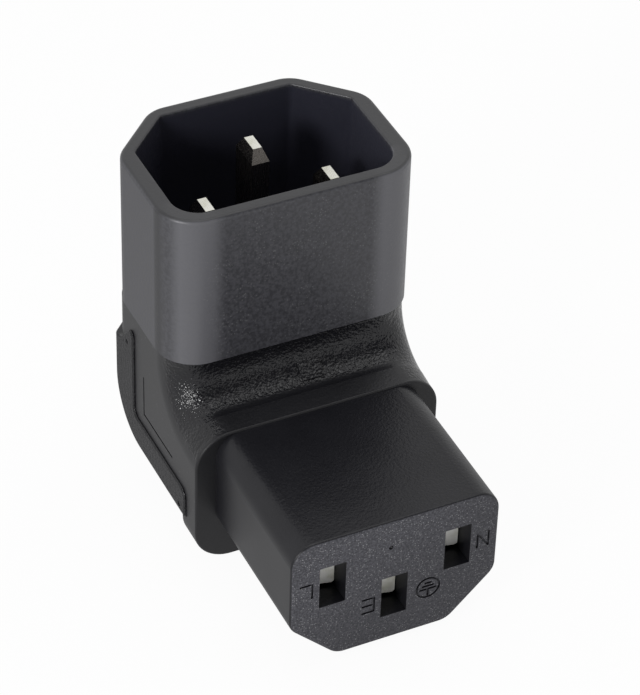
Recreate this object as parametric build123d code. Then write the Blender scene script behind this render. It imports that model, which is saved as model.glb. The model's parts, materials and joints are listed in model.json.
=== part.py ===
from build123d import *
import os
from math import sqrt

# Right-angle mains adapter: a male inlet looks up and a female outlet looks forward.
# Sizes are millimetres, +Z is up, and the outlet's face looks along -Y.
# The origin is the middle of the footprint, on the surface that the heel pad rests on.

# Contact pattern that inlet and outlet share
contact_pitch = 14.0
earth_offset = 4.0

# Inlet cavity
cavity_width = 24.4
cavity_depth = 17.0
cavity_height = 17.0
cavity_chamfer = 4.8
cavity_front_radius = 3.0
cavity_edge_round = 0.8
inlet_row_offset = -2.45

# Inlet shroud
wall_side = 1.9
wall_front = 1.5
wall_corner = 1.45
shroud_height = 18.3
shroud_front_radius = 4.4
shroud_edge_round = 3.6
rim_round = 0.45
mouth_round = 0.2
root_margin = 2.3
root_height = 1.7

# Pins of the inlet
blade_thickness = 2.0
blade_width = 4.0
tip_recess = 4.05
earth_lead = 3.15
tip_length = 1.35
tip_bevel_side = 0.51
tip_bevel_front = 0.87
collar_margin = 0.6
collar_height = 1.0
tail_height = 0.5

# Bridge plate that locks the pins from below
bridge_height = 2.0

# Outlet nose
inlet_axis_to_face = 34.25
nose_length = 18.5
nose_width = 23.2
nose_height = 16.15
nose_chamfer = 5.3
nose_top_radius = 2.6
nose_edge_round = 2.2
face_edge_round = 0.35
row_above_nose_bottom = 9.95
slot_width = 2.92
slot_height = 5.28
slot_depth = 2.5
chamber_margin = 0.35
nose_root_margin = 1.5
nose_root_length = 2.6
cap_thickness = 1.6

# Receptacle contacts
sheet = 0.45
contact_height = 4.5
contact_length = 9.6
wiper_outer = 1.42
wiper_reach = 0.3
wiper_slant = 0.4
wiper_corner_round = 0.5
belly_offset = 1.05
belly_depth = 4.6
fixed_leaf_gap = 0.6
neck_length = 1.2
neck_width = 1.6

# Leads between pins and contacts
conductor_diameter = 1.4
insulation_diameter = 2.8
barrel_diameter = 2.5
barrel_length = 3.0
crimp_end_gap = 0.5
strip_gap = 0.4
pin_crimp_share = 0.4
short_bend_share = 0.4
earth_bend = 4.0

# Elbow overmould
elbow_height = 21.75
seam_step = 0.2
pad_rise = 0.45
pad_side_rise = 0.3
elbow_chamfer = 5.4
pad_chamfer = 5.2
elbow_edge_round = 3.0
elbow_top_radius = 4.2
heel_radius = 11.0
sweep_below_seam = 1.0
sweep_share_of_arm = 0.6
arm_above_flange = 0.35
flange_height = 16.9
flange_corner_radius = 4.1
flange_thickness = 3.4
flange_edge_round = 0.25
nose_above_flange_bottom = 0.5

# Heel pad on the elbow
pad_below_seam = 2.6
pad_band_back = 9.9
pad_band_bottom = 8.7
pad_front_gap = 2.4
pad_ear_rise = 1.0
pad_ear_width = 3.6
pad_ear_drop = 3.0
pad_ear_round = 0.6
pad_ear_hollow = 1.5
pad_front_round = 1.2
pad_inner_round = 1.0
pad_edge_round = 0.2
pad_heel_round = 1.0
dimple_radius = 0.3
dimple_from_inner = 1.45
dimple_from_top = 2.0
dimple_from_front = 1.35
dimple_from_band = 2.65

# Small moulded details
tab_width = 2.4
tab_length = 2.6
tab_rise = 0.25
tab_shift = 1.1
tab_tilt = 8.0
groove_width = 0.22
groove_depth = 0.15
label_front_gap = 6.1
label_back_gap = 11.7
label_above_bottom = 9.85
label_height = 5.2
mark_stroke = 0.24
mark_depth = 0.2
letter_height = 1.85
letter_width = 1.25
letter_gap = 0.8
earth_mark_radius = 1.4
earth_mark_gap = 1.0
earth_mark_drop = 0.45
gate_radius = 0.25
gate_shift = -0.6
gate_below_top = 3.5

# First-shot mould round the leads
core_margin = 1.2
core_back_gap = 2.3
core_bottom_gap = 2.2
core_heel_cut = 6.0

# Places worked out from the sizes above
shroud_width = cavity_width + 2 * wall_side
shroud_depth = cavity_depth + 2 * wall_front
shroud_chamfer = cavity_chamfer + wall_side + wall_front - sqrt(2) * wall_corner
elbow_width = shroud_width - 2 * seam_step
inlet_axis_to_heel = shroud_depth / 2 - seam_step + pad_rise
overall_length = inlet_axis_to_face + inlet_axis_to_heel
inlet_y = overall_length / 2 - inlet_axis_to_heel
face_y = -overall_length / 2
flange_y = face_y + nose_length
elbow_back_y = inlet_y + shroud_depth / 2 - seam_step
elbow_front_y = inlet_y - shroud_depth / 2 + seam_step
elbow_bottom = pad_rise
seam_z = elbow_bottom + elbow_height
arm_top_z = elbow_bottom + flange_height + arm_above_flange
sweep_room = seam_z - sweep_below_seam - arm_top_z
sweep_radius = min(sweep_room, sweep_share_of_arm * (elbow_front_y - flange_y))
pad_top = seam_z - pad_below_seam
rim_z = seam_z + shroud_height
cavity_floor_z = rim_z - cavity_height
root_bottom_z = seam_z - root_height
bridge_bottom_z = root_bottom_z - bridge_height
nose_bottom = elbow_bottom + nose_above_flange_bottom
nose_middle_z = nose_bottom + nose_height / 2
outlet_row_z = nose_bottom + row_above_nose_bottom
row_y = inlet_y + inlet_row_offset
chamber_width = slot_width + 2 * chamber_margin
chamber_height = slot_height + 2 * chamber_margin
contact_front_y = face_y + slot_depth
cap_front_y = flange_y + nose_root_length
cap_back_y = cap_front_y + cap_thickness
lead_room = bridge_bottom_z - outlet_row_z
short_bend = short_bend_share * lead_room
pin_barrel_top = bridge_bottom_z - tail_height
pin_barrel_bottom = pin_barrel_top - pin_crimp_share * lead_room
contact_back_y = contact_front_y + contact_length
barrel_front_y = contact_back_y + neck_length
barrel_back_y = barrel_front_y + barrel_length

# Each way through the adapter: name, sideways place, pin's y, contact's z, how far its pin leads, bend
circuits = [
    ("line", -contact_pitch / 2, row_y, outlet_row_z, 0.0, short_bend),
    ("neutral", contact_pitch / 2, row_y, outlet_row_z, 0.0, short_bend),
    ("earth", 0.0, row_y + earth_offset, outlet_row_z - earth_offset, earth_lead, earth_bend),
]


def coffin(width, depth, chamfer_size, edge_round, far_radius):
    """Connector outline about its middle: two chamfered corners at +Y, two round ones at -Y."""
    outline = Rectangle(width, depth)
    outline = chamfer(outline.vertices().group_by(Axis.Y)[-1], chamfer_size)
    near = outline.vertices().group_by(Axis.Y)
    outline = fillet(near[-1] + near[-2], edge_round)
    far = outline.vertices().group_by(Axis.Y)[0]
    return fillet(far, far_radius)


def inlet_prism(outline, bottom, top):
    """Upright prism of an inlet outline between two heights."""
    return extrude(Pos(0, inlet_y, bottom) * outline, amount=top - bottom)


def outlet_prism(outline, front, back):
    """Prism of an outlet outline between two y values; its chamfers look down."""
    plane = Plane(origin=(0, front, nose_middle_z), x_dir=(1, 0, 0), z_dir=(0, 1, 0))
    return extrude(plane * outline, amount=back - front)


def block(x_span, y_span, z_span):
    """Box between the two ends of each span."""
    size = [span[1] - span[0] for span in (x_span, y_span, z_span)]
    middle = [(span[0] + span[1]) / 2 for span in (x_span, y_span, z_span)]
    return Pos(*middle) * Box(*size)


def rod(start, end, diameter):
    """Round rod between two points."""
    axis = Vector(*end) - Vector(*start)
    plane = Plane(origin=start, z_dir=axis)
    return extrude(plane * Circle(diameter / 2), amount=axis.length)


def shroud_outline(inset):
    """Outer outline of the shroud, drawn in by an inset."""
    return coffin(
        shroud_width - 2 * inset,
        shroud_depth - 2 * inset,
        shroud_chamfer - (2 - sqrt(2)) * inset,
        max(shroud_edge_round - inset, cavity_edge_round),
        max(shroud_front_radius - inset, cavity_edge_round),
    )


def pin_blade(x, y, bottom, tip):
    """Flat pin whose tip narrows on all four sides."""
    shoulder = tip - tip_length
    blade = block(
        (x - blade_thickness / 2, x + blade_thickness / 2),
        (y - blade_width / 2, y + blade_width / 2),
        (bottom, shoulder),
    )
    foot = Pos(x, y, shoulder) * Rectangle(blade_thickness, blade_width)
    end = Rectangle(blade_thickness - 2 * tip_bevel_side, blade_width - 2 * tip_bevel_front)
    return blade + loft([foot, Pos(x, y, tip) * end], ruled=True)


def make_pin(x, y, lead_out):
    """Pin: blade, locking collar under the shroud's floor, and crimp barrel."""
    tip = rim_z - tip_recess + lead_out
    blade = pin_blade(x, y, pin_barrel_top, tip)
    collar = block(
        (x - blade_thickness / 2 - collar_margin, x + blade_thickness / 2 + collar_margin),
        (y - blade_width / 2 - collar_margin, y + blade_width / 2 + collar_margin),
        (root_bottom_z, root_bottom_z + collar_height),
    )
    barrel = rod((x, y, pin_barrel_bottom), (x, y, pin_barrel_top), barrel_diameter)
    bore = rod((x, y, pin_barrel_bottom), (x, y, pin_barrel_top - crimp_end_gap), conductor_diameter)
    return blade + collar + barrel - bore


def contact_leaf(x, z, points):
    """One leaf of a contact: strip folded along points, which are offsets across and y values."""
    plan = trace(Polyline(*points), line_width=sheet)
    for fold in points[1:-1]:
        plan = plan + Pos(*fold) * Circle(sheet / 2)
    return extrude(Pos(x, 0, z - contact_height / 2) * plan, amount=contact_height)


def make_contact(x, z):
    """Receptacle contact: wiper across the slot, fixed leaf on the chamber's wall, neck and crimp barrel."""
    wiper_front = contact_front_y + sheet / 2
    wiper = contact_leaf(
        x,
        z,
        [
            (wiper_outer, wiper_front),
            (-wiper_reach, wiper_front + wiper_slant),
            (belly_offset, contact_front_y + belly_depth),
            (belly_offset, contact_back_y),
            (0, contact_back_y),
        ],
    )
    corners = Plane(origin=(x, contact_front_y, z), x_dir=(1, 0, 0), z_dir=(0, 1, 0))
    rounded = RectangleRounded(2 * wiper_outer, contact_height, wiper_corner_round)
    wiper = wiper & extrude(corners * rounded, amount=contact_length + sheet)
    fixed_offset = -(chamber_width - sheet) / 2
    fixed = contact_leaf(
        x,
        z,
        [
            (fixed_offset, wiper_front + fixed_leaf_gap),
            (fixed_offset, contact_back_y),
            (0, contact_back_y),
        ],
    )
    leaves = wiper + fixed
    neck = block(
        (x - neck_width / 2, x + neck_width / 2),
        (contact_back_y, barrel_front_y),
        (z - sheet / 2, z + sheet / 2),
    )
    barrel = rod((x, barrel_front_y, z), (x, barrel_back_y, z), barrel_diameter)
    bore = rod((x, barrel_front_y + crimp_end_gap, z), (x, barrel_back_y, z), conductor_diameter)
    return leaves + neck + barrel - bore


def lead_path(x, y, z, bend, front, top):
    """Route of a lead: back from the contact, one bend, and up to the pin."""
    return FilletPolyline((x, front, z), (x, y, z), (x, y, top), radius=bend)


def lead(x, y, z, bend, front, top, diameter):
    """Round lead along its route."""
    path = lead_path(x, y, z, bend, front, top)
    section = Plane(origin=path @ 0, z_dir=path % 0) * Circle(diameter / 2)
    return sweep(section, path=path)


def make_conductor(x, y, z, bend):
    """Copper core that ends inside both crimp barrels."""
    front = barrel_front_y + crimp_end_gap
    top = pin_barrel_top - crimp_end_gap
    return lead(x, y, z, bend, front, top, conductor_diameter)


def insulated_run(x, y, z, bend):
    """Whole round of the insulated stretch between the two crimps."""
    front = barrel_back_y + strip_gap
    top = pin_barrel_bottom - strip_gap
    return lead(x, y, z, bend, front, top, insulation_diameter)


def shroud_root():
    """Foot of the shroud that the overmould holds, one step smaller than the shroud."""
    return inlet_prism(shroud_outline(root_margin), root_bottom_z, seam_z)


def make_shroud():
    """Inlet shroud: a cup with its floor, and a smaller root inside the elbow."""
    cup = inlet_prism(shroud_outline(0), seam_z, rim_z)
    cup = fillet(cup.edges().group_by(Axis.Z)[-1], rim_round)
    mouth = coffin(cavity_width, cavity_depth, cavity_chamfer, cavity_edge_round, cavity_front_radius)
    cup = cup - inlet_prism(mouth, cavity_floor_z, rim_z)
    top_edges = cup.faces().sort_by(Axis.Z)[-1].inner_wires()[0].edges()
    cup = fillet(top_edges, mouth_round)
    return cup + shroud_root()


def make_bridge():
    """Plate under the shroud's root that keeps the pins from backing out."""
    return inlet_prism(shroud_outline(root_margin), bridge_bottom_z, root_bottom_z)


def nose_outline(inset):
    """Outline of the outlet nose, drawn in by an inset; +Y of the outline becomes down."""
    return coffin(
        nose_width - 2 * inset,
        nose_height - 2 * inset,
        nose_chamfer - (2 - sqrt(2)) * inset,
        max(nose_edge_round - inset, cavity_edge_round),
        max(nose_top_radius - inset, cavity_edge_round),
    )


def nose_root():
    """Foot of the nose that the overmould holds."""
    return outlet_prism(nose_outline(nose_root_margin), flange_y, cap_front_y)


def stroke(start, end):
    """Engraved straight stroke on the outlet's face, from one point to another in x and z."""
    run = Vector(end[0] - start[0], 0, end[1] - start[1])
    middle = Vector((start[0] + end[0]) / 2, face_y, (start[1] + end[1]) / 2)
    plane = Plane(origin=middle, x_dir=run, z_dir=(0, 1, 0))
    return extrude(plane * SlotOverall(run.length + mark_stroke, mark_stroke), amount=mark_depth)


def line_mark(x, z):
    """Letter L turned upside down: foot at the top, stem at the right."""
    left, right = x - letter_width / 2, x + letter_width / 2
    low, high = z - letter_height / 2, z + letter_height / 2
    return stroke((right, low), (right, high)) + stroke((left, high), (right, high))


def earth_letter(x, z):
    """Letter E turned upside down: stem at the right, three arms to the left."""
    left, right = x - letter_width / 2, x + letter_width / 2
    letter = stroke((right, z - letter_height / 2), (right, z + letter_height / 2))
    for share in (-0.5, 0, 0.5):
        letter = letter + stroke((left, z + share * letter_height), (right, z + share * letter_height))
    return letter


def neutral_mark(x, z):
    """Letter N, the same either way up."""
    left, right = x - letter_width / 2, x + letter_width / 2
    low, high = z - letter_height / 2, z + letter_height / 2
    posts = stroke((left, low), (left, high)) + stroke((right, low), (right, high))
    return posts + stroke((left, high), (right, low))


def earth_symbol(x, z):
    """Protective earth sign in a ring, upside down: stem below, bars shorter upwards."""
    plane = Plane(origin=(x, face_y, z), x_dir=(1, 0, 0), z_dir=(0, 1, 0))
    ring = Circle(earth_mark_radius) - Circle(earth_mark_radius - mark_stroke)
    sign = extrude(plane * ring, amount=mark_depth)
    step = earth_mark_radius / 3
    sign = sign + stroke((x, z - 2.2 * step), (x, z - 0.4 * step))
    for rung, half in enumerate((0.62, 0.42, 0.22)):
        height = z - 0.4 * step + rung * step * 0.9
        reach = half * earth_mark_radius
        sign = sign + stroke((x - reach, height), (x + reach, height))
    return sign


def face_marks():
    """Every engraved mark on the outlet's face, and the moulding's gate pit."""
    beside_slot = slot_width / 2 + letter_gap + letter_width / 2
    outer_slot = contact_pitch / 2 + beside_slot
    earth_z = outlet_row_z - earth_offset - earth_mark_drop
    gate_spot = Pos(gate_shift, face_y, nose_bottom + nose_height - gate_below_top)
    gate = gate_spot * Rot(90, 0, 0) * Sphere(gate_radius)
    marks = line_mark(-outer_slot, outlet_row_z)
    marks = marks + neutral_mark(outer_slot, outlet_row_z)
    marks = marks + earth_letter(-beside_slot, earth_z)
    marks = marks + earth_symbol(slot_width / 2 + earth_mark_gap + earth_mark_radius, earth_z)
    return marks + gate


def make_outlet_block():
    """Outlet nose: three chambers open at the back, three slots in the face, and a smaller root."""
    nose = outlet_prism(nose_outline(0), face_y, flange_y)
    nose = fillet(nose.edges().group_by(Axis.Y)[0], face_edge_round)
    nose = nose + nose_root()
    for name, x, y, z, lead_out, bend in circuits:
        nose = nose - block(
            (x - slot_width / 2, x + slot_width / 2),
            (face_y - slot_depth, contact_front_y),
            (z - slot_height / 2, z + slot_height / 2),
        )
        nose = nose - block(
            (x - chamber_width / 2, x + chamber_width / 2),
            (contact_front_y, cap_front_y),
            (z - chamber_height / 2, z + chamber_height / 2),
        )
    return nose - face_marks()


def make_rear_cap():
    """Cap that closes the chambers; the leads come out through it."""
    return outlet_prism(nose_outline(nose_root_margin), cap_front_y, cap_back_y)


def core_envelope():
    """First-shot mould as a plain L-shaped block between the cap and the bridge."""
    back = elbow_back_y - core_back_gap
    front = row_y - blade_width / 2 - core_margin
    bottom = elbow_bottom + core_bottom_gap
    reach = contact_pitch / 2 + insulation_diameter / 2 + core_margin
    low_top = outlet_row_z + insulation_diameter / 2 + core_margin
    outline = Polyline(
        (cap_back_y, bottom),
        (back - core_heel_cut, bottom),
        (back, bottom + core_heel_cut),
        (back, bridge_bottom_z),
        (front, bridge_bottom_z),
        (front, low_top),
        (cap_back_y, low_top),
        close=True,
    )
    return extrude(Plane.YZ * make_face(outline), amount=reach, both=True)


def side_profile(bottom, back, front, top, radius):
    """Side view of the elbow: bottom, heel, back, inlet front, concave sweep and arm top."""
    flange_top = elbow_bottom + flange_height
    plate_y = flange_y + flange_edge_round
    sweep_start = (front, arm_top_z + sweep_radius)
    sweep_end = (front - sweep_radius, arm_top_z)
    outline = [
        Line((plate_y, bottom), (back - radius, bottom)),
        RadiusArc((back - radius, bottom), (back, bottom + radius), -radius),
        Line((back, bottom + radius), (back, top)),
        Line((back, top), (front, top)),
        Line((front, top), sweep_start),
        RadiusArc(sweep_start, sweep_end, sweep_radius),
        Line(sweep_end, (plate_y, flange_top)),
        Line((plate_y, flange_top), (plate_y, bottom)),
    ]
    return make_face(Curve() + outline)


def heel_edges(solid, half, depth, back, bottom, radius):
    """Edges of one solid that run along bottom, heel and back at a given distance from the flanks."""
    def on_path(edge):
        """True for an edge on the heel path, drawn in by the given depth."""
        spot = edge @ 0.5
        middle_y, middle_z = back - radius, bottom + radius
        if spot.Y > middle_y and spot.Z < middle_z:
            away = sqrt((spot.Y - middle_y) ** 2 + (spot.Z - middle_z) ** 2)
            return abs(away - (radius - depth)) < 0.01
        return abs(spot.Y - (back - depth)) < 0.01 or abs(spot.Z - (bottom + depth)) < 0.01

    def lengthwise(edge):
        """True for an edge that keeps the given distance from the middle from end to end."""
        start, end = (edge @ 0).X, (edge @ 1).X
        return abs(abs(start) - half) < 0.01 and abs(start - end) < 0.01

    return ShapeList([edge for edge in solid.edges() if lengthwise(edge) and on_path(edge)])


def ease_heel(solid, half, back, bottom, radius, size, edge_round):
    """Chamfers both heel edges of an elbow solid and rounds the chamfer off."""
    solid = chamfer(heel_edges(solid, half, 0, back, bottom, radius), size)
    flank = heel_edges(solid, half, size, back, bottom, radius)
    outer = heel_edges(solid, half - size, 0, back, bottom, radius)
    return fillet(flank + outer, edge_round)


def elbow_body():
    """Elbow without its pad: side profile across the width, eased along all long edges."""
    half = elbow_width / 2
    profile = side_profile(elbow_bottom, elbow_back_y, elbow_front_y, seam_z, heel_radius)
    body = extrude(Plane.YZ * profile, amount=half, both=True)

    def along_sweep(edge):
        """True for the long edges at the inlet front, the concave sweep and the arm top."""
        spot = edge @ 0.5
        start, end = (edge @ 0).X, (edge @ 1).X
        level = abs(start) > half - 0.01 and abs(start - end) < 0.01
        above = spot.Z > elbow_bottom + flange_height - 0.01 and spot.Z < seam_z - 0.01
        return level and above and spot.Y < elbow_front_y + 0.01 and spot.Y > flange_y + 0.01

    front_edges = ShapeList([edge for edge in body.edges() if along_sweep(edge)])
    body = fillet(front_edges, elbow_top_radius)
    size, edge_round = elbow_chamfer, elbow_edge_round
    body = ease_heel(body, half, elbow_back_y, elbow_bottom, heel_radius, size, edge_round)
    plate = Rectangle(elbow_width, flange_height)
    plate = fillet(plate.vertices(), flange_corner_radius)
    plane = Plane(
        origin=(0, flange_y, elbow_bottom + flange_height / 2),
        x_dir=(1, 0, 0),
        z_dir=(0, 1, 0),
    )
    flange = extrude(plane * plate, amount=flange_thickness)
    return body + fillet(flange.edges().group_by(Axis.Y)[0], flange_edge_round)


def pad_dimples():
    """Small round pits near both ends of the pad, on both flanks."""
    back = elbow_back_y + pad_rise
    upper = (back - pad_band_back + dimple_from_inner, pad_top - dimple_from_top)
    lower = (flange_y + pad_front_gap + dimple_from_front, pad_band_bottom - dimple_from_band)
    half = elbow_width / 2 + pad_side_rise
    ball = Rot(0, 90, 0) * Sphere(dimple_radius)
    return [Pos(side * half, y, z) * ball for side in (-1, 1) for y, z in (upper, lower)]


def heel_pad():
    """Raised textured pad that wraps the heel, the underside and the back of the elbow."""
    back = elbow_back_y + pad_rise
    bottom = elbow_bottom - pad_rise
    radius = heel_radius + pad_rise
    half = elbow_width / 2 + pad_side_rise
    front = flange_y + pad_front_gap
    inner = back - pad_band_back
    ear_back = (back, pad_top - pad_ear_drop)
    ear_foot = (inner + pad_ear_width, pad_top - pad_ear_drop)
    ear_peak = (inner, pad_top + pad_ear_rise)
    outline = [
        Line((front, bottom), (back - radius, bottom)),
        RadiusArc((back - radius, bottom), (back, bottom + radius), -radius),
        Line((back, bottom + radius), ear_back),
        Line(ear_back, ear_foot),
        Line(ear_foot, ear_peak),
        Line(ear_peak, (inner, pad_band_bottom)),
        Line((inner, pad_band_bottom), (front, pad_band_bottom)),
        Line((front, pad_band_bottom), (front, bottom)),
    ]
    profile = make_face(Curve() + outline)
    rounds = [
        (ear_peak, pad_ear_round),
        (ear_foot, pad_ear_hollow),
        ((inner, pad_band_bottom), pad_inner_round),
        ((front, pad_band_bottom), pad_front_round),
    ]
    for (corner_y, corner_z), size in rounds:
        near = lambda v: abs(v.X - corner_y) < 0.01 and abs(v.Y - corner_z) < 0.01
        profile = fillet(profile.vertices().filter_by(near), size)
    pad = extrude(Plane.YZ * profile, amount=half, both=True)
    pad = ease_heel(pad, half, back, bottom, radius, pad_chamfer, pad_heel_round)
    border = [edge for edge in pad.edges() if on_border(edge, half, inner)]
    return fillet(ShapeList(border), pad_edge_round) - pad_dimples()


def on_border(edge, half, inner):
    """True for the edges that bound the pad on a flank, towards the label field and the inlet."""
    start, middle, end = edge @ 0, edge @ 0.5, edge @ 1
    in_flank = all(abs(abs(spot.X) - half) < 0.01 for spot in (start, middle, end))
    upright = abs(start.Y - end.Y) < 0.01
    above_heel = middle.Z > pad_chamfer + pad_heel_round / 2
    return in_flank and above_heel and (middle.Y < inner + 0.01 or not upright)


def sweep_tab():
    """Small flat vestige in the middle of the concave sweep."""
    middle_y = elbow_front_y - sweep_radius
    middle_z = arm_top_z + sweep_radius
    spot = Pos(tab_shift, middle_y, middle_z) * Rot(45, 0, 0)
    return spot * Pos(0, 0, -sweep_radius) * Rot(-tab_tilt, 0, 0) * Box(tab_width, tab_length, 2 * tab_rise)


def label_grooves():
    """L-shaped outline of the label field, engraved in both flanks."""
    low = elbow_bottom + label_above_bottom
    front = flange_y + label_front_gap
    back = elbow_back_y - label_back_gap
    grooves = None
    for side in (-1, 1):
        outer = side * elbow_width / 2
        x_span = sorted((outer - side * groove_depth, outer + side * groove_depth))
        level = block(x_span, (front, back), (low, low + groove_width))
        upright = block(x_span, (back - groove_width, back), (low, low + label_height))
        pair = level + upright
        grooves = pair if grooves is None else grooves + pair
    return grooves


def make_overmould():
    """Elbow overmould, hollow where it holds the root, the bridge, the core, the nose and the cap."""
    elbow = elbow_body() + heel_pad() + sweep_tab() - label_grooves()
    elbow = elbow - inlet_prism(shroud_outline(root_margin), bridge_bottom_z, seam_z)
    elbow = elbow - outlet_prism(nose_outline(nose_root_margin), flange_y, cap_back_y)
    return elbow - core_envelope()


def build():
    """Makes every piece and returns them by name."""
    pieces = {}
    for name, x, y, z, lead_out, bend in circuits:
        pieces[name + "_pin"] = make_pin(x, y, lead_out)
        pieces[name + "_contact"] = make_contact(x, z)
        core = make_conductor(x, y, z, bend)
        pieces[name + "_conductor"] = core
        pieces[name + "_insulation"] = insulated_run(x, y, z, bend) - core
    pins = [pieces[name + "_pin"] for name in ("line", "neutral", "earth")]
    runs = [insulated_run(x, y, z, bend) for name, x, y, z, lead_out, bend in circuits]
    cores = [pieces[name + "_conductor"] for name in ("line", "neutral", "earth")]
    shroud = make_shroud()
    bridge = make_bridge()
    cap = make_rear_cap()
    core_mould = core_envelope()
    for pin, run, copper in zip(pins, runs, cores):
        shroud = shroud - pin
        bridge = bridge - pin
        cap = cap - run
        core_mould = core_mould - pin - run - copper
    pieces["inlet_shroud"] = shroud
    pieces["pin_bridge"] = bridge
    pieces["outlet_block"] = make_outlet_block()
    pieces["outlet_rear_cap"] = cap
    pieces["inner_mould"] = core_mould
    pieces["elbow_overmould"] = make_overmould()
    return pieces


os.makedirs("parts", exist_ok=True)
for name, piece in build().items():
    export_step(piece, os.path.join("parts", name + ".step"))
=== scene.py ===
import json
import math

import bpy
import numpy as np
from mathutils import Matrix, Vector

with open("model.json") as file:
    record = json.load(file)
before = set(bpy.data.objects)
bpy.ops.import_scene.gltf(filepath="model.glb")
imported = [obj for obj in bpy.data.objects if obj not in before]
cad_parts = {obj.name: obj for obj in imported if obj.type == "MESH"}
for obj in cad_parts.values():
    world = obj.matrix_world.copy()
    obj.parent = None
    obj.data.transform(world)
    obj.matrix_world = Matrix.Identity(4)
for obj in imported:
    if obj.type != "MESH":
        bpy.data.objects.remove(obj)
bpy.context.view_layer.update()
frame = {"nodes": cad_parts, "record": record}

MM = 0.001

# Where the adapter's zones lie, in millimetres, as the frame has them
FLANGE_Y = -3.75
RIM_Z = 40.5
FLANK_X = 13.9
OUTLET_MIDDLE_Z = 10.0
MOUTH_MIDDLE_Y = 12.0
MOUTH_HALF_WIDTH = 12.3
MOUTH_HALF_DEPTH = 8.6


# Node helpers


def add_node(tree, kind, place, **settings):
    """Adds a shader node and sets its properties and its inputs by name."""
    node = tree.nodes.new(kind)
    node.location = place
    for key, value in settings.items():
        if hasattr(node, key):
            setattr(node, key, value)
        else:
            node.inputs[key.replace("_", " ")].default_value = value
    return node


class Sheet:
    """A node tree with short calls for the sums that most effects need."""

    NODES_IN_A_ROW = 9

    def __init__(self, tree):
        self.tree = tree
        self.count = 0

    def node(self, kind, **settings):
        self.count += 1
        row, column = divmod(self.count, self.NODES_IN_A_ROW)
        return add_node(self.tree, kind, (180 * column, -220 * row), **settings)

    def link(self, source, target):
        self.tree.links.new(source, target)

    def feed(self, socket, value):
        """Links a socket to another one, or sets its value."""
        if isinstance(value, bpy.types.NodeSocket):
            self.link(value, socket)
        else:
            socket.default_value = value

    def math(self, operation, *values, clamp=False):
        node = self.node("ShaderNodeMath")
        node.operation = operation
        node.use_clamp = clamp
        for socket, value in zip(node.inputs, values):
            self.feed(socket, value)
        return node.outputs[0]

    def product(self, first, *others):
        """Values multiplied one after the other."""
        for other in others:
            first = self.math("MULTIPLY", first, other)
        return first

    def size(self, value):
        """Value without its sign."""
        return self.math("ABSOLUTE", value)

    def ramp(self, value, low, high, to_low=0.0, to_high=1.0):
        """Value mapped smoothly from one range to another and held at its ends."""
        node = self.node("ShaderNodeMapRange", interpolation_type="SMOOTHSTEP", clamp=True)
        for socket, entry in zip(node.inputs, (value, low, high, to_low, to_high)):
            self.feed(socket, entry)
        return node.outputs[0]

    def mix(self, share, first, second):
        """Colour between two colours."""
        node = self.node("ShaderNodeMix", data_type="RGBA")
        self.feed(node.inputs[0], share)
        self.feed(node.inputs[6], first)
        self.feed(node.inputs[7], second)
        return node.outputs[2]

    def blend(self, share, first, second):
        """Value between two values."""
        node = self.node("ShaderNodeMix", data_type="FLOAT")
        self.feed(node.inputs[0], share)
        self.feed(node.inputs[2], first)
        self.feed(node.inputs[3], second)
        return node.outputs[0]

    def bump(self, height, relief):
        """Normal bent by a height map; a height of 1 stands the given relief, in metres, above 0."""
        node = self.node("ShaderNodeBump")
        self.feed(node.inputs["Strength"], 1.0)
        self.feed(node.inputs["Distance"], relief)
        self.feed(node.inputs["Height"], height)
        return node.outputs[0]


def new_group(name, inputs, outputs):
    """Makes a shader node group and returns its sheet, its input sockets and its output sockets."""
    tree = bpy.data.node_groups.new(name, "ShaderNodeTree")
    for label, kind, default in inputs:
        socket = tree.interface.new_socket(label, in_out="INPUT", socket_type="NodeSocket" + kind)
        if default is not None:
            socket.default_value = default
    for label in outputs:
        tree.interface.new_socket(label, in_out="OUTPUT", socket_type="NodeSocketFloat")
    sheet = Sheet(tree)
    entry = sheet.node("NodeGroupInput")
    leave = sheet.node("NodeGroupOutput")
    return sheet, entry.outputs, leave.inputs


def place_group(sheet, group, **values):
    """Puts a group into a tree with its own values and returns its outputs."""
    node = sheet.node("ShaderNodeGroup")
    node.node_tree = group
    for key, value in values.items():
        sheet.feed(node.inputs[key.replace("_", " ")], value)
    return node.outputs


# Effects that several materials share


def make_leather_grain():
    """Pebbled grain of etched mould steel: rounded cells of two sizes, bent out of line by a slow noise."""
    warp_scale, warp_reach = 0.6, 0.35
    cell_layers = ((1.0, 0.65), (1.9, 0.35))  # how many times finer than Cell, and its share of the height
    sheet, given, out = new_group(
        "leather_grain",
        [("Millimetres", "Vector", None), ("Cell", "Float", 0.4), ("Soften", "Float", 0.35)],
        ["Height"],
    )
    scale = sheet.math("DIVIDE", 1.0, given["Cell"])
    warp = sheet.node("ShaderNodeTexNoise", Detail=2.0, Roughness=0.5)
    sheet.feed(warp.inputs["Vector"], given["Millimetres"])
    sheet.feed(warp.inputs["Scale"], sheet.product(scale, warp_scale))
    pull = sheet.node("ShaderNodeVectorMath", operation="MULTIPLY_ADD")
    sheet.feed(pull.inputs[0], warp.outputs["Color"])
    pull.inputs[1].default_value = (warp_reach, warp_reach, warp_reach)
    sheet.feed(pull.inputs[2], given["Millimetres"])
    height = 0.0
    for finer, share in cell_layers:
        cells = sheet.node("ShaderNodeTexVoronoi", feature="SMOOTH_F1")
        sheet.feed(cells.inputs["Vector"], pull.outputs[0])
        sheet.feed(cells.inputs["Scale"], sheet.product(scale, finer))
        sheet.feed(cells.inputs["Smoothness"], given["Soften"])
        dome = sheet.math("SUBTRACT", 1.0, cells.outputs["Distance"])
        height = sheet.math("MULTIPLY_ADD", dome, share, height)
    sheet.link(height, out["Height"])
    return sheet.tree


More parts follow.
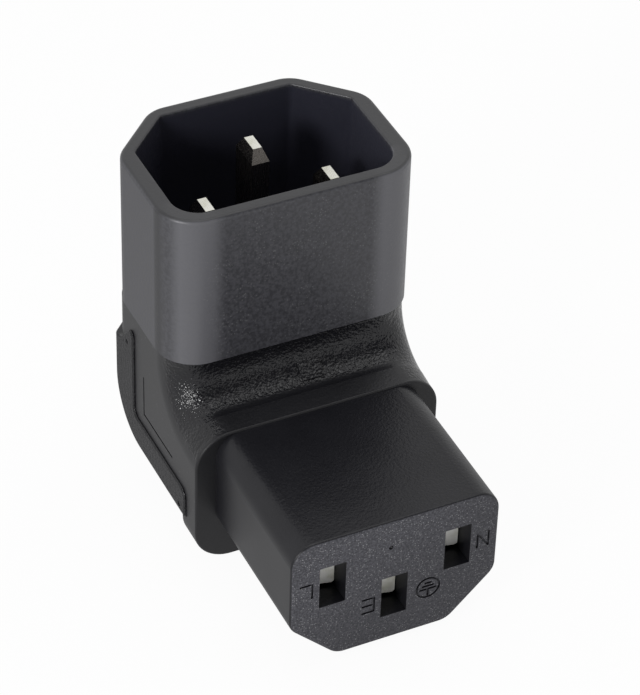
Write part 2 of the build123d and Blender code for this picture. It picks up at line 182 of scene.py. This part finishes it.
def make_flecks():
    """Small light flecks, as dust and scuffed grain leave on matt black plastic."""
    sheet, given, out = new_group(
        "flecks",
        [
            ("Millimetres", "Vector", None),
            ("Spacing", "Float", 0.3),
            ("Share", "Float", 0.2),
            ("Size", "Float", 0.3),
        ],
        ["Mask"],
    )
    cells = sheet.node("ShaderNodeTexVoronoi", feature="F1", Randomness=1.0)
    sheet.feed(cells.inputs["Vector"], given["Millimetres"])
    sheet.feed(cells.inputs["Scale"], sheet.math("DIVIDE", 1.0, given["Spacing"]))
    dot = sheet.ramp(cells.outputs["Distance"], 0.0, given["Size"], 1.0, 0.0)
    split = sheet.node("ShaderNodeSeparateColor")
    sheet.link(cells.outputs["Color"], split.inputs[0])
    chosen = sheet.math("LESS_THAN", split.outputs[0], given["Share"])
    sheet.link(sheet.product(chosen, split.outputs[1], dot), out["Mask"])
    return sheet.tree


def make_cloudiness():
    """Change of tone over a moulding, slow for flow marks and handling, quick for its texture."""
    sheet, given, out = new_group(
        "cloudiness",
        [("Millimetres", "Vector", None), ("Span", "Float", 6.0), ("Fine", "Float", 0.5)],
        ["Slow", "Quick"],
    )
    for label, width, detail in (("Slow", "Span", 3.0), ("Quick", "Fine", 4.0)):
        noise = sheet.node("ShaderNodeTexNoise", Detail=detail, Roughness=0.55)
        sheet.feed(noise.inputs["Vector"], given["Millimetres"])
        sheet.feed(noise.inputs["Scale"], sheet.math("DIVIDE", 1.0, given[width]))
        sheet.link(noise.outputs["Fac"], out[label])
    return sheet.tree


LEATHER = make_leather_grain()
LEATHER_MIDDLE = 0.7  # about the grain's mean height, taken off so that a fading relief leaves no step
FLECKS = make_flecks()
CLOUDS = make_cloudiness()


# Materials


def tone(level, blue=None):
    """Grey as a shader colour, with a blue of its own where it is a little cold."""
    return (level, level, level if blue is None else blue, 1)


class Finish(Sheet):
    """A material with one Principled shader, coordinates in millimetres and the surface's normal split."""

    def __init__(self, name, **constants):
        self.material = bpy.data.materials.new(name)
        self.material.use_nodes = True
        self.material.node_tree.nodes.clear()
        super().__init__(self.material.node_tree)
        self.shader = self.node("ShaderNodeBsdfPrincipled")
        output = self.node("ShaderNodeOutputMaterial")
        self.link(self.shader.outputs[0], output.inputs["Surface"])
        for key, value in constants.items():
            self.shader.inputs[key.replace("_", " ")].default_value = value
        coordinates = self.node("ShaderNodeTexCoord")
        scale = self.node("ShaderNodeVectorMath", operation="SCALE")
        self.link(coordinates.outputs["Object"], scale.inputs[0])
        scale.inputs["Scale"].default_value = 1 / MM
        self.mm = scale.outputs[0]
        axes = self.node("ShaderNodeSeparateXYZ")
        self.link(self.mm, axes.inputs[0])
        self.x, self.y, self.z = axes.outputs
        geometry = self.node("ShaderNodeNewGeometry")
        facing = self.node("ShaderNodeSeparateXYZ")
        self.link(geometry.outputs["Normal"], facing.inputs[0])
        self.nx, self.ny, self.nz = facing.outputs

    def clouds(self, span, fine):
        """Places the cloudiness group with its two widths in millimetres."""
        return place_group(self, CLOUDS, Millimetres=self.mm, Span=span, Fine=fine)

    def flecks(self, spacing, share, size):
        """Places the fleck group and returns its mask."""
        values = {"Spacing": spacing, "Share": share, "Size": size}
        return place_group(self, FLECKS, Millimetres=self.mm, **values)["Mask"]

    def pebbles(self, cell, soften):
        """Places the leather grain and returns its height, centred on zero."""
        grain = place_group(self, LEATHER, Millimetres=self.mm, Cell=cell, Soften=soften)
        return self.math("SUBTRACT", grain["Height"], LEATHER_MIDDLE)

    def set(self, socket, value):
        """Feeds one input of the shader."""
        self.feed(self.shader.inputs[socket], value)


def inner_side(f):
    """Mask of the cavity: 1 within a rectangle as large as the mouth, 0 beyond it.

    The outer walls of the shroud's two back chamfers lie within its corners and take the cavity's painted
    shade too.
    """
    across = f.math("LESS_THAN", f.size(f.x), MOUTH_HALF_WIDTH)
    offset = f.size(f.math("SUBTRACT", f.y, MOUTH_MIDDLE_Y))
    return f.product(across, f.math("LESS_THAN", offset, MOUTH_HALF_DEPTH))


def shroud_plastic():
    """Hard matt plastic of the inlet shroud: mottled and flecked flats, a painted highlight on the front
    corners with painted shade beside them, painted shade on the rim's top and in the cavity.
    """
    deep, pale = tone(0.032, 0.037), tone(0.054, 0.062)
    corner_highlight_tone, corner_shade_tone = tone(0.125, 0.137), tone(0.012, 0.013)
    fleck_tone, rim_shade_tone = tone(0.17, 0.175), tone(0.014, 0.016)
    cavity_shade_tone = (0.022, 0.0225, 0.034, 1)
    f = Finish("shroud_plastic", Specular_IOR_Level=0.52)
    clouds = f.clouds(span=3.0, fine=0.35)

    body = f.mix(f.ramp(clouds["Quick"], 0.35, 0.65), deep, pale)
    # Painted highlight on the front corners: from 7.8 to 13.7 mm beside the middle, and only in front
    across = f.size(f.x)
    corner = f.product(f.ramp(across, 7.8, 9.8), f.ramp(across, 12.5, 13.7, 1.0, 0.0))
    corner_highlight = f.product(corner, f.ramp(f.y, 6.0, 6.6, 1.0, 0.0), 0.8)
    body = f.mix(corner_highlight, body, corner_highlight_tone)

    # Painted shade: a dark band where the round of a front corner runs into the side
    ahead = f.product(f.ny, -1.0)
    corner_shade = f.product(f.ramp(ahead, 0.02, 0.1), f.ramp(ahead, 0.2, 0.42, 1.0, 0.0), 0.6)
    body = f.mix(corner_shade, body, corner_shade_tone)

    # Flecks in patches, on the front and back
    flat = f.ramp(f.size(f.ny), 0.96, 0.995, 0.1, 1.0)
    specks = f.product(f.flecks(spacing=0.3, share=0.7, size=0.4), flat)
    patchy = f.product(specks, f.ramp(clouds["Slow"], 0.4, 0.62, 0.12, 0.9))
    body = f.mix(patchy, body, fleck_tone)

    # Painted shade: faces that look upwards, the rim's top among them, take a darker tone
    body = f.mix(f.product(f.ramp(f.nz, 0.6, 0.9), 0.85), body, rim_shade_tone)
    # Painted shade: the cavity below the rim, and the back chamfers' outer walls, take a darker tone
    cavity = f.product(f.ramp(f.z, RIM_Z - 0.6, RIM_Z - 0.15, 1.0, 0.0), inner_side(f))
    f.set("Base Color", f.mix(cavity, body, cavity_shade_tone))

    front_rough, flank_rougher = (0.34, 0.44), 0.14
    flank = f.ramp(f.size(f.nx), 0.9, 0.99)
    mottled = f.ramp(clouds["Quick"], 0.3, 0.7, *front_rough)
    f.set("Roughness", f.math("MULTIPLY_ADD", flank, flank_rougher, mottled))
    f.set("Normal", f.bump(f.math("MULTIPLY_ADD", specks, 0.6, clouds["Quick"]), 0.018 * MM))
    return f.material


def overmould_vinyl():
    """Soft glossy vinyl of the elbow: pebbled grain on the sweep and the pad, smooth flanks and flange."""
    deep, pale = tone(0.005, 0.0066), tone(0.007, 0.009)
    flank_tone, fleck_tone = tone(0.02, 0.022), tone(0.16, 0.165)
    smooth_relief, pad_relief = 0.05, 2.6  # in parts of the sweep's own relief
    smooth_rough, level_rough, sweep_rough, pad_rough = 0.5, 0.3, 0.14, 0.58
    f = Finish("overmould_vinyl", Specular_IOR_Level=0.42)
    clouds = f.clouds(span=4.0, fine=0.3)

    # Masks: the upright sides, the flange's front, what lies level, and the raised pad's own face
    flank = f.ramp(f.size(f.nx), 0.9, 0.985)
    plate = f.ramp(f.y, FLANGE_Y + 0.25, FLANGE_Y + 0.8, 1.0, 0.0)
    level = f.ramp(f.nz, 0.93, 0.999)
    pad = f.ramp(f.size(f.x), FLANK_X + 0.12, FLANK_X + 0.25)
    smooth = f.math("MAXIMUM", f.math("MAXIMUM", flank, plate), level)
    grained = f.math("MAXIMUM", f.math("SUBTRACT", 1.0, smooth), pad, clamp=True)

    body = f.mix(f.ramp(clouds["Slow"], 0.3, 0.7), deep, pale)
    bare_flank = f.product(flank, f.math("SUBTRACT", 1.0, pad))
    body = f.mix(f.product(bare_flank, 0.55), body, flank_tone)
    specks = f.product(f.flecks(spacing=0.5, share=0.14, size=0.3), bare_flank, 0.5)
    f.set("Base Color", f.mix(specks, body, fleck_tone))

    glossy = f.blend(grained, f.blend(level, smooth_rough, level_rough), sweep_rough)
    f.set("Roughness", f.blend(pad, glossy, pad_rough))
    relief = f.blend(pad, f.blend(grained, smooth_relief, 1.0), pad_relief)
    ripple = f.product(clouds["Quick"], 0.12)
    height = f.math("MULTIPLY_ADD", f.pebbles(cell=0.33, soften=0.2), relief, ripple)
    f.set("Normal", f.bump(height, 0.09 * MM))
    return f.material


def outlet_plastic():
    """Plastic of the outlet nose: leather grain on top, smooth sides and a matt flecked face."""
    deep, pale = tone(0.007, 0.0092), tone(0.010, 0.0125)
    face_deep, face_pale = tone(0.042, 0.050), tone(0.098, 0.112)
    fleck_tone, shade_tone = tone(0.42, 0.43), tone(0.012, 0.013)
    side_rough, top_rough, face_rough = 0.42, 0.3, 0.6
    f = Finish("outlet_plastic", Specular_IOR_Level=0.29)
    clouds = f.clouds(span=6.0, fine=0.22)
    face = f.ramp(f.ny, -0.9, -0.6, 1.0, 0.0)
    top = f.ramp(f.nz, 0.55, 0.97)

    body = f.mix(f.ramp(clouds["Slow"], 0.3, 0.7), deep, pale)
    mottled = f.mix(f.ramp(clouds["Quick"], 0.35, 0.65), face_deep, face_pale)
    specks = f.product(f.flecks(spacing=0.19, share=0.5, size=0.46), 0.95)
    mottled = f.mix(specks, mottled, fleck_tone)
    # The face darkens from its upper left corner to its lower right one
    along = f.math("SUBTRACT", f.product(f.math("SUBTRACT", f.z, OUTLET_MIDDLE_Z), 1.6), f.x)
    mottled = f.mix(f.ramp(along, -12.0, 16.0, 0.35, 0.0), mottled, shade_tone)
    f.set("Base Color", f.mix(face, body, mottled))

    f.set("Roughness", f.blend(face, f.blend(top, side_rough, top_rough), face_rough))
    height = f.product(f.pebbles(cell=0.34, soften=0.35), f.product(top, 0.4))
    height = f.math("MULTIPLY_ADD", clouds["Quick"], f.blend(face, 0.08, 0.5), height)
    f.set("Normal", f.bump(height, 0.06 * MM))
    return f.material


def clouded(name, low, high, span, fine, rough, relief, **constants):
    """Plain finish: one slow change of colour, one quick change of roughness, and a faint bump."""
    f = Finish(name, **constants)
    clouds = f.clouds(span, fine)
    f.set("Base Color", f.mix(clouds["Slow"], (*low, 1), (*high, 1)))
    f.set("Roughness", f.ramp(clouds["Quick"], 0.3, 0.7, *rough))
    f.set("Normal", f.bump(clouds["Quick"], relief))
    return f.material


def insert_plastic():
    """Hard inner plastic of the bridge plate and the rear cap."""
    low, high = (0.016, 0.016, 0.018), (0.03, 0.03, 0.032)
    return clouded("insert_plastic", low, high, 4.0, 0.3, (0.45, 0.6), 0.01 * MM)


def core_plastic():
    """First-shot moulding inside the elbow, a little greyer than the overmould."""
    low, high = (0.03, 0.03, 0.032), (0.05, 0.05, 0.052)
    return clouded("core_plastic", low, high, 5.0, 0.4, (0.5, 0.65), 0.02 * MM)


def copper_core():
    """Copper of the leads, with a little tarnish."""
    bright, side_shade_tone = (0.86, 0.42, 0.26), (0.62, 0.27, 0.16)
    return clouded("copper_core", bright, side_shade_tone, 0.8, 0.15, (0.25, 0.4), 0.01 * MM, Metallic=1.0)


def sleeve(name, low, high):
    """Vinyl sleeve of a lead."""
    return clouded(name, low, high, 2.0, 0.3, (0.35, 0.5), 0.01 * MM)


def nickel(name, plate, rough_low, rough_high, side_shade_share=(0.0, 0.0)):
    """Nickel plating with drawing lines up the strip and faint tarnish; sides and top can be darkened with a
    painted shade.
    """
    lines_a_mm = (9.0, 9.0, 0.6)
    side_shade_tone = (0.3, 0.276, 0.255, 1)
    red, green, blue = [0.82 * value for value in plate]
    tarnished = (red, green, 0.93 * blue)
    f = Finish(name, Metallic=1.0)
    stretch = f.node("ShaderNodeVectorMath", operation="MULTIPLY")
    f.link(f.mm, stretch.inputs[0])
    stretch.inputs[1].default_value = lines_a_mm
    lines = f.node("ShaderNodeTexNoise", Scale=1.0, Detail=3.0)
    f.link(stretch.outputs[0], lines.inputs["Vector"])
    clouds = f.clouds(span=1.6, fine=0.12)
    plated = f.mix(f.ramp(clouds["Slow"], 0.4, 0.7), (*plate, 1), (*tarnished, 1))
    # Painted shade: a darker metal by how far the surface looks up, set apart for the sides and the top
    f.set("Base Color", f.mix(f.ramp(f.nz, 0.7, 0.95, *side_shade_share), plated, side_shade_tone))
    f.set("Roughness", f.ramp(lines.outputs["Fac"], 0.3, 0.7, rough_low, rough_high))
    f.set("Normal", f.bump(lines.outputs["Fac"], 0.006 * MM))
    return f.material


FINISHES = {
    "shroud_plastic": shroud_plastic(),
    "outlet_plastic": outlet_plastic(),
    "overmould_vinyl": overmould_vinyl(),
    "insert_plastic": insert_plastic(),
    "core_plastic": core_plastic(),
    # The pins' sides take the painted shade, their tops stay bright
    "pin_nickel": nickel("pin_nickel", (0.70, 0.695, 0.64), 0.2, 0.3, side_shade_share=(1.0, 0.0)),
    "contact_nickel": nickel("contact_nickel", (0.97, 0.965, 0.94), 0.62, 0.75),
    "copper_core": copper_core(),
    "line_sleeve": sleeve("line_sleeve", (0.16, 0.06, 0.03), (0.22, 0.09, 0.045)),
    "neutral_sleeve": sleeve("neutral_sleeve", (0.03, 0.12, 0.36), (0.05, 0.17, 0.46)),
    "earth_sleeve": sleeve("earth_sleeve", (0.10, 0.28, 0.05), (0.42, 0.44, 0.04)),
}

for part in frame["record"]["subparts"]:
    shown = frame["nodes"][part["node"]]
    finish = FINISHES[part["material_slot"]]
    if not shown.material_slots:
        shown.data.materials.append(finish)
    for holder in shown.material_slots:
        holder.material = finish


# Floor

FLOOR_COLOUR = (0.86, 0.86, 0.87, 1)
FLOOR_GLOW = 0.95  # how far camera and mirror rays see plain white in place of the matt floor
MIRRORED_FLOOR = 0.75  # how bright that white is in the object's reflections
FLOOR_RADIUS = 2.0
FLOOR_SPOKES = 96
FLOOR_RINGS = 16


def floor_material():
    """Pale matt surface that camera, mirror and glass rays see nearly white; its back lets rays through."""
    material = bpy.data.materials.new("pale_floor")
    material.use_nodes = True
    material.node_tree.nodes.clear()
    sheet = Sheet(material.node_tree)
    matt = sheet.node("ShaderNodeBsdfDiffuse", Color=FLOOR_COLOUR)
    white = sheet.node("ShaderNodeEmission", Color=tone(1))
    path = sheet.node("ShaderNodeLightPath")
    sheet.link(sheet.blend(path.outputs["Is Glossy Ray"], 1.0, MIRRORED_FLOOR), white.inputs["Strength"])
    seen = sheet.math("MAXIMUM", path.outputs["Is Camera Ray"], path.outputs["Is Glossy Ray"])
    seen = sheet.math("MAXIMUM", seen, path.outputs["Is Transmission Ray"])
    mixed = sheet.node("ShaderNodeMixShader")
    sheet.link(sheet.product(seen, FLOOR_GLOW), mixed.inputs[0])
    sheet.link(matt.outputs[0], mixed.inputs[1])
    sheet.link(white.outputs[0], mixed.inputs[2])
    clear = sheet.node("ShaderNodeBsdfTransparent")
    geometry = sheet.node("ShaderNodeNewGeometry")
    sided = sheet.node("ShaderNodeMixShader")
    sheet.link(geometry.outputs["Backfacing"], sided.inputs[0])
    sheet.link(mixed.outputs[0], sided.inputs[1])
    sheet.link(clear.outputs[0], sided.inputs[2])
    output = sheet.node("ShaderNodeOutputMaterial")
    sheet.link(sided.outputs[0], output.inputs["Surface"])
    return material


def round_floor():
    """Flat disc: rings whose radii grow by one ratio, with neighbouring rings joined by quads."""
    turns = np.linspace(0, 2 * math.pi, FLOOR_SPOKES, endpoint=False)
    radii = np.concatenate([[0.0], np.geomspace(0.02, FLOOR_RADIUS, FLOOR_RINGS)])[:, None]
    across, along = radii * np.cos(turns), radii * np.sin(turns)
    points = np.stack([across, along, np.zeros_like(across)], axis=-1)
    index = np.arange(across.size).reshape(across.shape)
    ahead = np.roll(index, -1, axis=1)
    quads = np.stack([index[:-1], index[1:], ahead[1:], ahead[:-1]], axis=-1).reshape(-1, 4)
    mesh = bpy.data.meshes.new("floor")
    mesh.from_pydata(points.reshape(-1, 3).tolist(), [], quads.tolist())
    mesh.polygons.foreach_set("use_smooth", np.ones(len(quads), bool))
    mesh.materials.append(floor_material())
    mesh.update()
    disc = bpy.data.objects.new("floor", mesh)
    bpy.context.scene.collection.objects.link(disc)
    return disc


floor = round_floor()


# Lights

LAMP_AIM = Vector((0, 0, 0.018))


def softbox(name, toward, distance, side, power):
    """Square lamp at a distance from the object along a direction, turned to face it."""
    lamp = bpy.data.lights.new(name, "AREA")
    lamp.shape = "RECTANGLE"
    lamp.size = lamp.size_y = side
    lamp.energy = power
    holder = bpy.data.objects.new(name, lamp)
    direction = Vector(toward).normalized()
    holder.location = LAMP_AIM + direction * distance
    holder.rotation_euler = direction.to_track_quat("Z", "Y").to_euler()
    bpy.context.scene.collection.objects.link(holder)


softbox("left_box", (-0.80, -0.45, 0.38), distance=0.7, side=0.16, power=2.2)
softbox("top_box", (0.10, 0.10, 1.0), distance=0.8, side=0.5, power=1.0)

GAP_HEIGHT = 0.60  # the height, on a unit sphere, at which the tent's dim gap is in its middle
GAP_LEVEL = 0.08  # how bright the gap is
TENT_FILL = 0.75  # what share of the tent's light falls on matt surfaces


def studio_world():
    """White tent all round, with the dim gap in front where the camera looks in."""
    world = bpy.data.worlds.new("studio")
    world.use_nodes = True
    world.node_tree.nodes.clear()
    sheet = Sheet(world.node_tree)
    way = sheet.node("ShaderNodeTexCoord")
    unit = sheet.node("ShaderNodeVectorMath", operation="NORMALIZE")
    sheet.link(way.outputs["Generated"], unit.inputs[0])
    split = sheet.node("ShaderNodeSeparateXYZ")
    sheet.link(unit.outputs[0], split.inputs[0])
    offset = sheet.size(sheet.math("SUBTRACT", split.outputs[2], GAP_HEIGHT))
    height = sheet.ramp(offset, 0.16, 0.34, 1.0, 0.0)
    front = sheet.ramp(split.outputs[1], -0.15, -0.45, 0.0, 1.0)
    path = sheet.node("ShaderNodeLightPath")
    hidden = sheet.math("SUBTRACT", 1.0, path.outputs["Is Camera Ray"])
    level = sheet.blend(sheet.product(height, front, hidden), 1.0, GAP_LEVEL)
    level = sheet.product(level, sheet.blend(path.outputs["Is Diffuse Ray"], 1.0, TENT_FILL))
    sky = sheet.node("ShaderNodeBackground", Color=tone(1))
    sheet.link(level, sky.inputs["Strength"])
    output = sheet.node("ShaderNodeOutputWorld")
    sheet.link(sky.outputs[0], output.inputs["Surface"])
    return world


bpy.context.scene.world = studio_world()


# Camera, as fitted to the photograph: its place and the directions of its own axes

CAMERA_PLACE = Vector((-0.111128, -0.228726, 0.230871))
CAMERA_RIGHT = Vector((0.90519, -0.4243, 0.02448))
CAMERA_UP = Vector((0.25185, 0.58191, 0.77328))
CAMERA_BACK = Vector((-0.34235, -0.6938, 0.6336))

camera_data = bpy.data.cameras.new("camera")
camera_data.sensor_width = 36.0
camera_data.lens = 165.16
camera_data.clip_start = 0.01
camera_data.clip_end = 10.0
camera = bpy.data.objects.new("camera", camera_data)
turn = Matrix((CAMERA_RIGHT, CAMERA_UP, CAMERA_BACK)).transposed()
camera.matrix_world = Matrix.Translation(CAMERA_PLACE) @ turn.to_4x4()
bpy.context.scene.collection.objects.link(camera)
bpy.context.scene.camera = camera
bpy.context.scene.view_settings.view_transform = "Standard"
